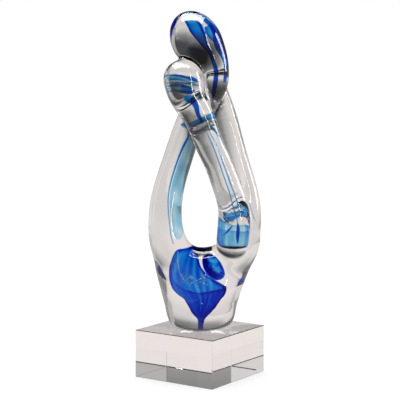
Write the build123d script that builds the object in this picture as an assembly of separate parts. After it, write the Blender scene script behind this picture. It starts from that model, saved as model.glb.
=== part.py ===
from build123d import *
import math
import os

# Clear art-glass sculpture with encased blue veils, standing on a clear glass block.
# Two rounded rods cross and embrace above a tulip-shaped body: one is a long loop that runs
# from behind the neck down through the body and up into the upper head, the other is laid
# on the front from the right shoulder up to the lower head.
# The front faces -Y, +X is to the right, and Z is 0 at the middle of the block's underside.
# All lengths are millimetres and angles are degrees.

# Block and its glue film
block_side = 80.0
block_height = 41.0
block_turn = -34.8
block_arris = 0.5
bond_thickness = 0.2

# Sculpted glass, above the glue film
glass_height = 271.0
loop_reach = 45.0
depth_reach = 28.0
limb_radius = 11.5
seam_height = 87.0

# Body below the loop
body_height = 66.8
body_half_width = 42.0
body_half_depth = 28.0
foot_contact_radius = 17.0

# Rounded ends of the rods
upper_head_radius = 21.0
upper_head_cap = 27.0
lower_head_radius = 16.2
lower_head_cap = 16.0
front_end_radius = 13.6
front_end_cap = 12.0
rear_tip_radius = 10.4
rear_tip_cap = 9.0

# Encased blue glass
drop_height = 62.0
drop_half_width = 21.5
drop_half_depth = 14.0
drop_wall = 1.3
drop_tail_radius = 0.9
petal_length = 12.0
petal_width = 8.2
petal_depth = 7.5
petal_wall = 1.0
cup_radius = 9.6
cup_wall = 0.9
cup_height = 20.0
thread_radius = 0.55
line_radius = 0.7
veil_half_thickness = 0.5

# Level that everything above the block is measured from
glass_bottom = block_height + bond_thickness

# Degrees round a domed end at which its sections lie
dome_angles = (0, 18, 36, 53, 67, 78, 85)
quarter_turn = 90

# Loop stations from the upper end of the left limb, down through the body, to the tip of the
# rear limb: x as a share of loop_reach, y of depth_reach, z of glass_height, and the radius
# across the loop and the radius in depth as shares of limb_radius.
loop_shares = [
    (-0.136, 0.29, 0.667, 1.11, 1.11),
    (-0.289, 0.30, 0.604, 1.07, 1.07),
    (-0.422, 0.29, 0.537, 1.09, 1.08),
    (-0.553, 0.25, 0.468, 1.12, 1.11),
    (-0.642, 0.21, 0.403, 1.19, 1.18),
    (-0.667, 0.16, 0.357, 1.25, 1.28),
    (-0.660, 0.12, 0.310, 1.32, 1.44),
    (-0.560, 0.06, 0.250, 1.44, 1.66),
    (-0.300, 0.00, 0.200, 1.52, 1.84),
    (0.080, 0.00, 0.190, 1.56, 1.90),
    (0.470, 0.04, 0.203, 1.56, 1.86),
    (0.735, 0.12, 0.250, 1.44, 1.68),
    (0.822, 0.20, 0.310, 1.34, 1.46),
    (0.862, 0.28, 0.357, 1.20, 1.26),
    (0.862, 0.36, 0.400, 1.09, 1.12),
    (0.798, 0.44, 0.457, 1.02, 1.03),
    (0.650, 0.56, 0.540, 1.00, 1.00),
    (0.527, 0.68, 0.617, 1.00, 1.00),
    (0.418, 0.80, 0.682, 0.98, 0.98),
    (0.300, 0.92, 0.740, 0.95, 0.95),
]
loop_tip_shares = (0.215, 1.00, 0.785)
left_seam_index = 6
rear_seam_index = 12
seam_overrun_count = 2
halving_count = 30

# Upper head stations: the first two lie on the left limb, so that the surface runs on.
upper_head_shares = [
    (-0.422, 0.29, 0.537, 1.00, 1.00),
    (-0.289, 0.30, 0.604, 1.00, 1.00),
    (-0.136, 0.29, 0.667, 1.08, 1.08),
    (0.055, 0.22, 0.720, 1.14, 1.14),
    (0.180, 0.14, 0.770, 1.32, 1.30),
    (0.192, 0.07, 0.815, 1.38, 1.34),
    (0.095, 0.02, 0.860, 1.60, 1.54),
]
upper_head_centre_shares = (-0.066, 0.00, 0.903)

# Front rod stations, from its rounded lower end up to the lower head
front_shares = [
    (0.622, -0.52, 0.312, 1.21, 1.21),
    (0.636, -0.52, 0.352, 1.20, 1.20),
    (0.618, -0.54, 0.390, 1.13, 1.13),
    (0.560, -0.56, 0.428, 1.10, 1.09),
    (0.457, -0.56, 0.475, 1.06, 1.04),
    (0.340, -0.55, 0.525, 1.03, 1.01),
    (0.158, -0.53, 0.591, 1.05, 1.05),
    (0.040, -0.51, 0.645, 1.09, 1.09),
    (-0.090, -0.50, 0.690, 1.17, 1.17),
    (-0.222, -0.50, 0.727, 1.28, 1.28),
    (-0.290, -0.50, 0.760, 1.38, 1.38),
]
front_end_shares = (0.600, -0.50, 0.275)
lower_head_centre_shares = (-0.325, -0.50, 0.787)
front_seam_index = 9

# Body sections from the foot up to the dome inside the loop: the centre across as a share of
# body_half_width, z of body_height, then half width and half depth as shares of their sizes.
body_shares = [
    (0.012, 0.012, 0.500, 0.730),
    (0.016, 0.028, 0.570, 0.825),
    (0.016, 0.056, 0.630, 0.905),
    (0.015, 0.195, 0.714, 0.985),
    (0.012, 0.353, 0.768, 1.000),
    (0.022, 0.529, 0.852, 0.960),
    (0.042, 0.725, 0.952, 0.850),
    (0.058, 0.835, 1.000, 0.735),
    (0.070, 0.910, 0.980, 0.600),
    (0.070, 0.963, 0.830, 0.440),
    (0.070, 1.000, 0.480, 0.220),
]

# Drop sections: centre across and half width as shares of drop_half_width, centre in depth and
# half depth as shares of drop_half_depth, z as a share of drop_height.
drop_shares = [
    (-0.02, 0.00, 0.030, 0.00, 0.00),
    (0.00, 0.00, 0.080, 0.04, 0.05),
    (0.03, 0.00, 0.150, 0.12, 0.15),
    (0.04, 0.00, 0.215, 0.24, 0.28),
    (0.06, 0.00, 0.303, 0.40, 0.46),
    (0.07, 0.00, 0.400, 0.57, 0.64),
    (0.04, 0.00, 0.465, 0.71, 0.77),
    (0.00, 0.00, 0.545, 0.87, 0.90),
    (-0.05, 0.00, 0.640, 0.96, 0.98),
    (-0.08, 0.00, 0.745, 1.00, 1.00),
    (-0.09, 0.00, 0.925, 0.98, 0.96),
    (-0.10, 0.02, 1.060, 0.92, 0.86),
    (-0.11, 0.04, 1.150, 0.80, 0.74),
]
drop_hollow_index = 4
drop_rim_share = 0.68
drop_rim_fall = 24.0
drop_rim_lean = 40.0

# Petal: its centre as shares of drop_half_width, drop_half_depth and drop_height
petal_shares = (0.42, -0.42, 0.845)
petal_roll = 58.0
petal_lean = 14.0

# Cup in the front rod's lower end: how far its dome's centre stands above the rod's own end
cup_rise = 2.2
cup_dome = 5.0

# Blue lines and veils inside a rod: the station number, the place across and in depth as
# shares of the rod's radius there, the half width and the half thickness as shares of the
# streak's own sizes, and the turn of its section about the rod.
left_line_rows_share = [
    (0.4, 0.22, -0.10, 0.9, 0.9, 0),
    (1.2, 0.11, -0.08, 1.2, 1.2, 0),
    (2.0, 0.02, -0.06, 1.3, 1.3, 0),
    (2.8, 0.01, -0.04, 1.2, 1.2, 0),
    (3.6, 0.03, -0.02, 1.1, 1.1, 0),
    (4.7, 0.12, -0.02, 1.0, 1.0, 0),
    (6.0, 0.17, 0.00, 1.0, 1.0, 0),
    (6.9, 0.14, 0.02, 0.9, 0.9, 0),
]
left_veil_rows_share = [
    (0.1, 0.46, 0.18, 0.50, 1.0, 0),
    (0.6, 0.46, 0.18, 0.80, 1.0, 0),
    (1.2, 0.42, 0.18, 0.95, 1.0, 0),
    (2.0, 0.36, 0.18, 1.00, 1.0, 0),
    (3.0, 0.34, 0.18, 1.00, 1.0, 0),
    (4.0, 0.37, 0.18, 1.00, 1.0, 0),
    (5.0, 0.42, 0.18, 1.00, 1.0, 0),
    (6.0, 0.43, 0.18, 1.00, 1.0, 0),
    (6.8, 0.40, 0.18, 0.80, 1.0, 0),
]
front_streak_rows_share = [
    (9.0, 0.06, 0.04, 1.6, 1.4, 0),
    (8.7, 0.10, 0.03, 2.1, 1.6, 0),
    (8.4, 0.12, 0.02, 2.3, 1.7, 0),
    (8.0, 0.07, 0.00, 2.1, 1.7, 0),
    (7.5, 0.03, 0.00, 1.5, 1.4, 0),
    (7.1, 0.04, 0.00, 1.0, 1.0, 0),
]
front_left_thread_rows_share = [
    (6.9, 0.03, -0.02, 1.0, 1.0, 0),
    (6.5, 0.08, -0.02, 1.0, 1.0, 0),
    (6.0, 0.12, -0.02, 1.0, 1.0, 0),
    (5.0, 0.05, 0.00, 1.0, 1.0, 0),
    (4.0, 0.02, 0.00, 1.0, 1.0, 0),
    (3.0, 0.00, 0.00, 1.0, 1.0, 0),
    (2.2, -0.01, 0.00, 1.0, 1.0, 0),
    (1.4, 0.06, 0.00, 1.1, 1.1, 0),
    (0.8, 0.14, 0.00, 1.9, 1.7, 0),
    (0.1, 0.19, 0.00, 2.3, 1.9, 0),
]
front_right_thread_rows_share = [
    (6.8, 0.18, 0.04, 1.0, 1.0, 0),
    (6.0, 0.28, 0.04, 1.0, 1.0, 0),
    (5.0, 0.23, 0.02, 1.0, 1.0, 0),
    (4.0, 0.20, 0.02, 1.0, 1.0, 0),
    (3.0, 0.20, 0.02, 1.0, 1.0, 0),
    (2.0, 0.23, 0.02, 1.0, 1.0, 0),
    (1.3, 0.22, 0.02, 1.0, 1.0, 0),
]
# The rear thread's stations are counted from the seam at the foot of the rear limb.
rear_thread_rows_share = [
    (0.2, 0.46, 0.10, 1.0, 1.0, 0),
    (0.7, 0.26, 0.04, 1.0, 1.0, 0),
    (1.2, 0.14, 0.00, 1.0, 1.0, 0),
    (1.8, 0.10, 0.00, 1.0, 1.0, 0),
]

# Blue veils in the heads: x, y and z as shares of loop_reach, depth_reach and glass_height,
# half width and half thickness as shares of the veil's own sizes, and the section's turn.
head_fan_rows_share = [
    (-0.195, 0.03, 0.9620, 0.70, 1.4, 0),
    (-0.163, 0.03, 0.9520, 0.86, 1.6, 0),
    (-0.117, 0.03, 0.9400, 0.90, 1.7, 0),
    (-0.072, 0.03, 0.9270, 0.84, 1.8, 0),
    (-0.023, 0.03, 0.9130, 0.73, 1.8, 0),
    (0.029, 0.03, 0.9000, 0.60, 1.8, 0),
    (0.084, 0.03, 0.8850, 0.45, 1.8, 0),
    (0.138, 0.04, 0.8710, 0.28, 1.9, 0),
    (0.203, 0.07, 0.8450, 0.20, 1.9, 0),
    (0.247, 0.10, 0.8260, 0.21, 2.0, 0),
    (0.262, 0.14, 0.8080, 0.21, 2.0, 0),
    (0.257, 0.17, 0.7870, 0.20, 1.9, 0),
    (0.243, 0.18, 0.7660, 0.19, 1.8, 0),
    (0.215, 0.20, 0.7460, 0.18, 1.7, 0),
    (0.165, 0.21, 0.7230, 0.17, 1.6, 0),
]
head_strip_rows_share = [
    (-0.235, 0.21, 0.9650, 0.35, 1.0, 0),
    (-0.162, 0.21, 0.9645, 0.45, 1.2, 0),
    (-0.099, 0.19, 0.9618, 0.45, 1.4, 0),
    (-0.034, 0.18, 0.9556, 0.50, 1.4, 0),
    (0.032, 0.18, 0.9468, 0.55, 1.4, 0),
    (0.096, 0.19, 0.9367, 0.65, 1.4, 0),
    (0.158, 0.21, 0.9240, 0.85, 1.4, 0),
    (0.215, 0.21, 0.9080, 1.00, 1.4, 0),
    (0.275, 0.20, 0.8890, 0.90, 1.4, 0),
    (0.330, 0.20, 0.8670, 0.65, 1.4, 0),
    (0.375, 0.20, 0.8450, 0.50, 1.4, 0),
    (0.400, 0.19, 0.8230, 0.42, 1.4, 0),
    (0.405, 0.18, 0.8000, 0.38, 1.4, 0),
    (0.395, 0.18, 0.7780, 0.32, 1.2, 0),
]
head_veil_rows_share = [
    (0.068, 0.08, 0.9360, 0.80, 1.0, 0),
    (0.104, 0.08, 0.9240, 1.00, 1.2, 0),
    (0.145, 0.08, 0.9110, 0.75, 1.2, 0),
    (0.180, 0.09, 0.8980, 0.35, 1.0, 0),
]
head_band_rows_share = [
    (-0.500, -0.36, 0.7860, 0.60, 1.0, 0),
    (-0.460, -0.45, 0.7900, 1.00, 1.4, 0),
    (-0.385, -0.50, 0.7900, 1.00, 1.6, 0),
    (-0.300, -0.51, 0.7880, 1.00, 1.6, 0),
    (-0.215, -0.48, 0.7850, 1.10, 1.8, 0),
    (-0.150, -0.42, 0.7800, 0.80, 1.6, 0),
]
head_swirl_rows_share = [
    (-0.430, -0.46, 0.7680, 0.50, 1.2, 0),
    (-0.370, -0.50, 0.7660, 0.80, 1.8, 0),
    (-0.300, -0.52, 0.7620, 0.80, 2.0, 0),
    (-0.240, -0.52, 0.7530, 0.80, 2.0, 0),
    (-0.215, -0.51, 0.7430, 0.60, 1.4, 0),
]

# Half width of each encased veil
left_veil_half_width = 3.6
head_fan_half_width = 4.8
head_strip_half_width = 2.8
head_band_half_width = 2.4
head_swirl_half_width = 3.2
head_veil_half_width = 3.6


def place(shares):
    """A point above the glue film from shares of the loop's reach, depth and height."""
    across, depth, height = shares[:3]
    return Vector(
        across * loop_reach,
        depth * depth_reach,
        glass_bottom + height * glass_height,
    )


def tangent_at(points, index):
    """Direction of a path of points at one of them, from its two neighbours."""
    before = points[max(index - 1, 0)]
    after = points[min(index + 1, len(points) - 1)]
    return (after - before).normalized()


def section(centre, direction, half_across, half_depth, turn=0.0):
    """An elliptical section square to a direction, with its first axis in the depth."""
    depth_axis = Vector(0, 1, 0)
    depth_axis = (depth_axis - direction * depth_axis.dot(direction)).normalized()
    plane = Plane(origin=centre, x_dir=depth_axis, z_dir=direction)
    return plane * Rot(0, 0, turn) * Ellipse(half_depth, half_across)


def stations(shares):
    """Centre, radius across and radius in depth of each row of a rod's table."""
    return [(place(row), row[3] * limb_radius, row[4] * limb_radius) for row in shares]


def rod(rows, start_direction=None):
    """A smooth rod through elliptical sections, square to the line of their centres."""
    centres = [row[0] for row in rows]
    directions = [tangent_at(centres, index) for index in range(len(centres))]
    if start_direction is not None:
        directions[0] = start_direction
    return loft(
        [
            section(centre, direction, across, depth)
            for (centre, across, depth), direction in zip(rows, directions)
        ]
    )


def dome(centre, before, radius, cap):
    """Sections of a rounded end: half an ellipsoid beyond the last centre of a rod."""
    direction = (centre - before).normalized()
    return [
        (
            centre + direction * (cap * math.sin(math.radians(angle))),
            radius * math.cos(math.radians(angle)),
            radius * math.cos(math.radians(angle)),
        )
        for angle in dome_angles
    ]


def half_ellipsoid(radius, cap):
    """Half an ellipsoid on the XY plane, round across and cap long along +Z."""
    outline = Polyline((0, cap), (0, 0), (radius, 0)) + EllipticalCenterArc(
        (0, 0), radius, cap, arc_size=quarter_turn
    )
    return revolve(Plane.XZ * make_face(outline), Axis.Z)


def keep_side(solid, origin, direction):
    """The part of a solid on the side of a plane that its normal points to."""
    return split(solid, bisect_by=Plane(origin=origin, z_dir=direction), keep=Keep.TOP)


def make_base_block():
    """Polished square block with a small arris on every edge, turned about the upright."""
    block = Box(
        block_side, block_side, block_height, align=(Align.CENTER, Align.CENTER, Align.MIN)
    )
    block = chamfer(block.edges(), block_arris)
    return Rot(0, 0, block_turn) * block


def make_bond():
    """Clear glue film between the block and the foot."""
    film = Cylinder(
        foot_contact_radius,
        bond_thickness,
        align=(Align.CENTER, Align.CENTER, Align.MIN),
    )
    return Pos(0, 0, block_height) * film


def make_tulip():
    """Body below the loop: round foot, widening and flattening to the shoulders."""
    sections = [Pos(0, 0, glass_bottom) * Circle(foot_contact_radius)]
    for across, height, half_width, half_depth in body_shares:
        sections.append(
            Pos(across * body_half_width, 0, glass_bottom + height * body_height)
            * Ellipse(half_width * body_half_width, half_depth * body_half_depth)
        )
    return loft(sections)


def make_loop_pieces(head_direction):
    """The long rod as its left limb, its bend in the body and its rear limb.

    Each is lofted a few stations past the level seam, so that the surface runs on across it.
    """
    rows = stations(loop_shares)
    rows += dome(place(loop_tip_shares), rows[-1][0], rear_tip_radius, rear_tip_cap)
    seam = (0, 0, glass_bottom + seam_height)
    left = rod(rows[: left_seam_index + seam_overrun_count], start_direction=head_direction * -1)
    bend = rod(rows[left_seam_index - seam_overrun_count : rear_seam_index + seam_overrun_count])
    rear = rod(rows[rear_seam_index - seam_overrun_count :])
    return (
        keep_side(left, seam, (0, 0, 1)),
        keep_side(bend, seam, (0, 0, -1)),
        keep_side(rear, seam, (0, 0, 1)),
    )


def make_upper_head(head_direction):
    """Neck and large head, from the top of the left limb."""
    rows = stations(upper_head_shares)
    centre = place(upper_head_centre_shares)
    rows += dome(centre, rows[-1][0], upper_head_radius, upper_head_cap)
    return keep_side(rod(rows), place(loop_shares[0]), head_direction)


def make_front_pieces():
    """The rod laid on the front, as its limb and its small head."""
    rows = stations(front_shares)
    seam = rows[front_seam_index][0]
    seam_direction = tangent_at([row[0] for row in rows], front_seam_index)
    lower_end = dome(place(front_end_shares), rows[0][0], front_end_radius, front_end_cap)
    head_end = dome(
        place(lower_head_centre_shares), rows[-1][0], lower_head_radius, lower_head_cap
    )
    whole = rod(lower_end[::-1] + rows + head_end)
    limb = keep_side(whole, seam, seam_direction * -1)
    return limb, keep_side(whole, seam, seam_direction)


def make_drop():
    """Thin-walled blue tulip that stands on a solid tail, with a slanted open rim."""
    outer, inner = [], []
    for index, (across, depth, height, half_width, half_depth) in enumerate(drop_shares):
        spot = Pos(
            across * drop_half_width,
            depth * drop_half_depth,
            glass_bottom + height * drop_height,
        )
        width = max(half_width * drop_half_width, drop_tail_radius)
        thick = max(half_depth * drop_half_depth, drop_tail_radius)
        outer.append(spot * Ellipse(width, thick))
        if index >= drop_hollow_index:
            inner.append(spot * Ellipse(width - drop_wall, thick - drop_wall))
    drop = loft(outer) - Pos(0, 0, drop_wall) * loft(inner)
    fall, lean = math.tan(math.radians(drop_rim_fall)), math.tan(math.radians(drop_rim_lean))
    rim = (0, 0, glass_bottom + drop_rim_share * drop_height)
    return keep_side(drop, rim, (-fall, lean, -1))


def shell_bowl(length, width, depth, wall):
    """Half an ellipsoid shell, open towards +Z."""
    outer = scale(Sphere(1), by=(length, width, depth))
    inner = scale(Sphere(1), by=(length - wall, width - wall, depth - wall))
    return keep_side(outer - inner, (0, 0, 0), (0, 0, -1))


def make_petal():
    """Small curled blue petal, a shallow bowl that opens to the front above the drop's rim."""
    across, depth, height = petal_shares
    spot = Pos(
        across * drop_half_width,
        depth * drop_half_depth,
        glass_bottom + height * drop_height,
    )
    bowl = shell_bowl(petal_length, petal_width, petal_depth, petal_wall)
    return spot * Rot(0, petal_roll, 0) * Rot(90 + petal_lean, 0, 0) * bowl


def make_cup():
    """Blue cup in the lower end of the front rod, open upwards along it."""
    end = place(front_end_shares)
    up = (place(front_shares[0]) - end).normalized()
    outer = half_ellipsoid(cup_radius, cup_dome)
    inner = half_ellipsoid(cup_radius - cup_wall, cup_dome - cup_wall)
    wall_height = cup_height - cup_dome
    stand = (Align.CENTER, Align.CENTER, Align.MIN)
    cup = Rot(180, 0, 0) * outer + Cylinder(cup_radius, wall_height, align=stand)
    cup = cup - Rot(180, 0, 0) * inner - Cylinder(cup_radius - cup_wall, wall_height, align=stand)
    return Plane(origin=end + up * cup_rise, z_dir=up) * cup


def rod_frame(shares, station):
    """Centre, axes and radii of a rod at a station number and a fraction."""
    points = [place(row) for row in shares]
    last = len(points) - 1
    index = min(int(station), last - 1)
    fraction = station - index
    slopes = [
        (points[min(near + 1, last)] - points[max(near - 1, 0)]) * 0.5
        for near in (index, index + 1)
    ]
    square, cube = fraction**2, fraction**3
    centre = (
        points[index] * (2 * cube - 3 * square + 1)
        + slopes[0] * (cube - 2 * square + fraction)
        + points[index + 1] * (3 * square - 2 * cube)
        + slopes[1] * (cube - square)
    )
    direction = (slopes[0] * (1 - fraction) + slopes[1] * fraction).normalized()
    depth_axis = Vector(0, 1, 0)
    depth_axis = (depth_axis - direction * depth_axis.dot(direction)).normalized()
    side_axis = depth_axis.cross(direction).normalized()
    if side_axis.X < 0:
        side_axis = side_axis * -1
    radii = [
        limb_radius * (shares[index][col] * (1 - fraction) + shares[index + 1][col] * fraction)
        for col in (3, 4)
    ]
    return centre, side_axis, depth_axis, radii


def station_at_height(shares, height, low, high):
    """The station number, between two others, at which a rising rod reaches a height."""
    for _ in range(halving_count):
        middle = (low + high) / 2
        if rod_frame(shares, middle)[0].Z < height:
            low = middle
        else:
            high = middle
    return low


def veil(centres, half_widths, half_thicknesses, turns):
    """A blue line or veil along a row of centres, with elliptical sections."""
    return loft(
        [
            section(centre, tangent_at(centres, index), width, thickness, turn)
            for index, (centre, width, thickness, turn) in enumerate(
                zip(centres, half_widths, half_thicknesses, turns)
            )
        ]
    )


def streak(shares, rows, half_width, half_thickness):
    """A blue line or veil that runs along inside a rod."""
    centres = []
    for station, across, depth, _, _, _ in rows:
        centre, side_axis, depth_axis, radii = rod_frame(shares, station)
        centres.append(
            centre + side_axis * (across * radii[0]) + depth_axis * (depth * radii[1])
        )
    return veil(
        centres,
        [row[3] * half_width for row in rows],
        [row[4] * half_thickness for row in rows],
        [row[5] for row in rows],
    )


def head_veil(rows, half_width, half_thickness):
    """A blue veil in one of the heads, placed by shares of the whole glass."""
    return veil(
        [place(row) for row in rows],
        [row[3] * half_width for row in rows],
        [row[4] * half_thickness for row in rows],
        [row[5] for row in rows],
    )


# Clear glass: the front rod was laid on last, and what it touches is cut back round it
neck_points = [place(row) for row in upper_head_shares]
neck_direction = tangent_at(neck_points, 2)
front_limb, lower_head = make_front_pieces()
left_limb, loop_bend, rear_limb = make_loop_pieces(neck_direction)
upper_head = make_upper_head(neck_direction) - front_limb - lower_head
body = make_tulip() + loop_bend - front_limb
left_limb = left_limb - front_limb
rear_limb = rear_limb - upper_head - front_limb

clear = {
    "body": body,
    "left_limb": left_limb,
    "rear_limb": rear_limb,
    "upper_head": upper_head,
    "front_limb": front_limb,
    "lower_head": lower_head,
}

# The rear thread keeps its place above the seam that the rear limb starts from
rear_seam_station = station_at_height(
    loop_shares,
    glass_bottom + seam_height,
    rear_seam_index - seam_overrun_count,
    len(loop_shares) - 1,
)
rear_thread_rows = [
    (rear_seam_station + row[0], *row[1:]) for row in rear_thread_rows_share
]

# Encased blue glass, and the clear pieces that each one lies in
blue = {
    "core_drop": (make_drop(), ["body"]),
    "core_petal": (make_petal(), ["body"]),
    "left_limb_line": (
        streak(loop_shares, left_line_rows_share, line_radius, line_radius),
        ["left_limb", "body"],
    ),
    "left_limb_veil": (
        streak(loop_shares, left_veil_rows_share, left_veil_half_width, veil_half_thickness),
        ["left_limb", "body"],
    ),
    "rear_limb_thread": (
        streak(loop_shares, rear_thread_rows, thread_radius, thread_radius),
        ["rear_limb"],
    ),
    "front_limb_streak": (
        streak(front_shares, front_streak_rows_share, line_radius, line_radius),
        ["front_limb", "lower_head"],
    ),
    "front_limb_left_thread": (
        streak(front_shares, front_left_thread_rows_share, thread_radius, thread_radius),
        ["front_limb"],
    ),
    "front_limb_right_thread": (
        streak(front_shares, front_right_thread_rows_share, thread_radius, thread_radius),
        ["front_limb"],
    ),
    "front_limb_cup": (make_cup(), ["front_limb"]),
    "upper_head_fan": (
        head_veil(head_fan_rows_share, head_fan_half_width, veil_half_thickness),
        ["upper_head"],
    ),
    "upper_head_strip": (
        head_veil(head_strip_rows_share, head_strip_half_width, veil_half_thickness),
        ["upper_head"],
    ),
    "upper_head_veil": (
        head_veil(head_veil_rows_share, head_veil_half_width, veil_half_thickness),
        ["upper_head"],
    ),
    "lower_head_band": (
        head_veil(head_band_rows_share, head_band_half_width, veil_half_thickness),
        ["lower_head"],
    ),
    "lower_head_swirl": (
        head_veil(head_swirl_rows_share, head_swirl_half_width, veil_half_thickness),
        ["lower_head"],
    ),
}
for inlay, holders in blue.values():
    for holder in holders:
        clear[holder] = clear[holder] - inlay

pieces = {"base_block": make_base_block(), "adhesive_bond": make_bond()}
pieces.update(clear)
pieces.update({name: inlay for name, (inlay, _) in blue.items()})

os.makedirs("parts", exist_ok=True)
for name, shape in pieces.items():
    solids = shape.solids()
    export_step(Compound(children=solids) if len(solids) > 1 else solids[0], f"parts/{name}.step")
    print(f"{name}: {len(solids)} solid, {shape.volume / 1000:.2f} cm3")
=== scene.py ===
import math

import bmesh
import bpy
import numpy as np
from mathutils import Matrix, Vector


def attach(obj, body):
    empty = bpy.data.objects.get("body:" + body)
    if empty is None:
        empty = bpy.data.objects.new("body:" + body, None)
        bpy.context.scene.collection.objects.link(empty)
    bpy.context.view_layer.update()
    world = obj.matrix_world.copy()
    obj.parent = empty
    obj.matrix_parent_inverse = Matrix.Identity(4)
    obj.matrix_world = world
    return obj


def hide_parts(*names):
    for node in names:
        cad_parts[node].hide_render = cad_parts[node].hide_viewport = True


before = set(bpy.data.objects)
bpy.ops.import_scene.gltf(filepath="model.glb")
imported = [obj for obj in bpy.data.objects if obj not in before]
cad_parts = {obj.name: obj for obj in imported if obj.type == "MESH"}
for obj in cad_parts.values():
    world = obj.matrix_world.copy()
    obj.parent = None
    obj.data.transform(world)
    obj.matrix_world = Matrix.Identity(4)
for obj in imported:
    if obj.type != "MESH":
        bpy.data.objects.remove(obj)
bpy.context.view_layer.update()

# %% [markdown]
# This lesson dresses a clear art-glass sculpture. Two rounded rods of hot glass cross and
# embrace above a tulip-shaped body, cobalt-blue glass is trapped inside them, and the whole
# stands on a square block of clear glass. Glass has hardly a colour of its own: what it shows
# is the room behind it, bent and turned upside down. So the lesson first builds the room,
# then the clear skin, and then the blue glass that floats inside it. Everything is in metres,
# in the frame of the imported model, so each piece goes where the solids say.

scene = bpy.context.scene
body_root = "root"
mm = 0.001

# %% [markdown]
# The camera stands where the photographer's did: about 1.1 m in front of the piece, a little
# above the middle and tipped down by six degrees. It could be placed by eye, but the seven
# corners of the block that can be seen fix it to about a pixel. It is made first, so that
# every later choice is judged in the same view.

# %% Camera
camera_place = (-0.00017, -1.0984, 0.2668)
camera_tip = math.radians(6.0)
focal_in_pixels = 1294.1
frame_pixels = 400
sensor_width_mm = 36.0


def placed(name, data):
    """A new object in the scene, at the origin."""
    made = bpy.data.objects.new(name, data)
    scene.collection.objects.link(made)
    return made


camera_data = bpy.data.cameras.new("camera")
camera_data.sensor_width = sensor_width_mm
camera_data.lens = focal_in_pixels / frame_pixels * sensor_width_mm
camera = placed("camera", camera_data)
camera.location = camera_place
camera.rotation_euler = (math.pi / 2 - camera_tip, 0, 0)
scene.camera = camera
scene.view_settings.view_transform = "Standard"
print("lens", round(camera_data.lens, 1), "mm")

# %% [markdown]
# Every material below is a small tree of nodes. It could be built with one line for each
# socket, but a few short helpers keep it readable: they add a node with its values, and a
# value that is the socket of another node is linked.


# %% Node helpers
def add_node(tree, kind, **values):
    """Add a node and set its properties, then its inputs by name, or by place as in_0."""
    made = tree.nodes.new(kind)
    for key, value in values.items():
        if hasattr(made, key):
            setattr(made, key, value)
            continue
        target = made.inputs[int(key[3:]) if key.startswith("in_") else key.replace("_", " ")]
        if isinstance(value, bpy.types.NodeSocket):
            tree.links.new(value, target)
        else:
            target.default_value = value
    return made


def node_out(tree, kind, **values):
    """The first output of a new node."""
    return add_node(tree, kind, **values).outputs[0]


def new_material(name):
    """A node material with an empty tree, and that tree."""
    material = bpy.data.materials.new(name)
    material.use_nodes = True
    material.node_tree.nodes.clear()
    return material, material.node_tree


def calculated(tree, operation, first, second, clamped=False):
    """The result of a Math node on two values."""
    return node_out(tree, "ShaderNodeMath", operation=operation, use_clamp=clamped,
                    in_0=first, in_1=second)


def axes_of(tree, coordinates="Object"):
    """The X, Y and Z of a texture coordinate."""
    place = tree.nodes.new("ShaderNodeTexCoord").outputs[coordinates]
    return add_node(tree, "ShaderNodeSeparateXYZ", in_0=place).outputs


print("node helpers ready")


# %% Colour and shader helpers
def colour_ramp(tree, factor, stops):
    """The colour at a factor on a ramp with stops of position and colour."""
    ramp = add_node(tree, "ShaderNodeValToRGB", in_0=factor)
    while len(ramp.color_ramp.elements) < len(stops):
        ramp.color_ramp.elements.new(0.5)
    for element, (position, colour) in zip(ramp.color_ramp.elements, stops):
        element.position = position
        element.color = (*colour, 1)
    return ramp.outputs[0]


def blend_colours(tree, factor, first, second):
    """A mix of two colours, each a socket or a plain colour, by a factor socket."""
    first, second = [(*colour, 1) if isinstance(colour, tuple) else colour for colour in (first, second)]
    return add_node(tree, "ShaderNodeMix", data_type="RGBA", in_0=factor, in_6=first, in_7=second).outputs[2]


def fade_between(tree, value, low, high):
    """A smooth step from 0 to 1 while a value goes from low to high."""
    return node_out(tree, "ShaderNodeMapRange", interpolation_type="SMOOTHSTEP",
                    Value=value, From_Min=low, From_Max=high)


def choose(tree, factor, first, second):
    """The first shader where the factor is 0, the second where it is 1."""
    return node_out(tree, "ShaderNodeMixShader", in_0=factor, in_1=first, in_2=second)


def glow_of(tree, colour, strength=1.0):
    """Light of one colour, as bright as asked."""
    return node_out(tree, "ShaderNodeEmission", Color=colour, Strength=strength)


white = (1, 1, 1, 1)
print("colour and shader helpers ready")

# %% [markdown]
# The room is dark above a pale table, because the glass in the photograph is black where it
# turns the ceiling upside down. The world could be an even grey, but then the heads would
# look like milk. Rays from matt surfaces get an even fill, the camera sees white, and rays
# that have met glass see the room: a dark ceiling over grey walls.

# %% Walls of the room
ceiling = (0.010, 0.010, 0.012)
world = bpy.data.worlds.new("studio")
scene.world = world
world.use_nodes = True
tree = world.node_tree
tree.nodes.clear()
axes = axes_of(tree, "Generated")
upward = node_out(tree, "ShaderNodeMapRange", Value=axes["Z"], From_Min=-1.0, From_Max=1.0)
far_wall = colour_ramp(tree, upward, (
    (0.00, (0.30, 0.29, 0.28)), (0.49, (0.30, 0.29, 0.28)), (0.52, ceiling), (1.00, ceiling)))
wall_by_camera = colour_ramp(tree, upward, (
    (0.00, (0.26, 0.25, 0.25)), (0.62, (0.26, 0.25, 0.25)), (0.72, (0.10, 0.10, 0.10)), (0.80, ceiling)))
right_wall = colour_ramp(tree, upward, (
    (0.00, (0.36, 0.35, 0.34)), (0.60, (0.30, 0.29, 0.29)), (0.72, (0.10, 0.10, 0.10)), (0.80, ceiling)))
walls = blend_colours(tree, fade_between(tree, axes["X"], 0.60, 0.90), far_wall, right_wall)
walls = blend_colours(tree, fade_between(tree, axes["Y"], 0.0, -0.5), walls, wall_by_camera)
print("wall nodes", len(tree.nodes))

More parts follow.
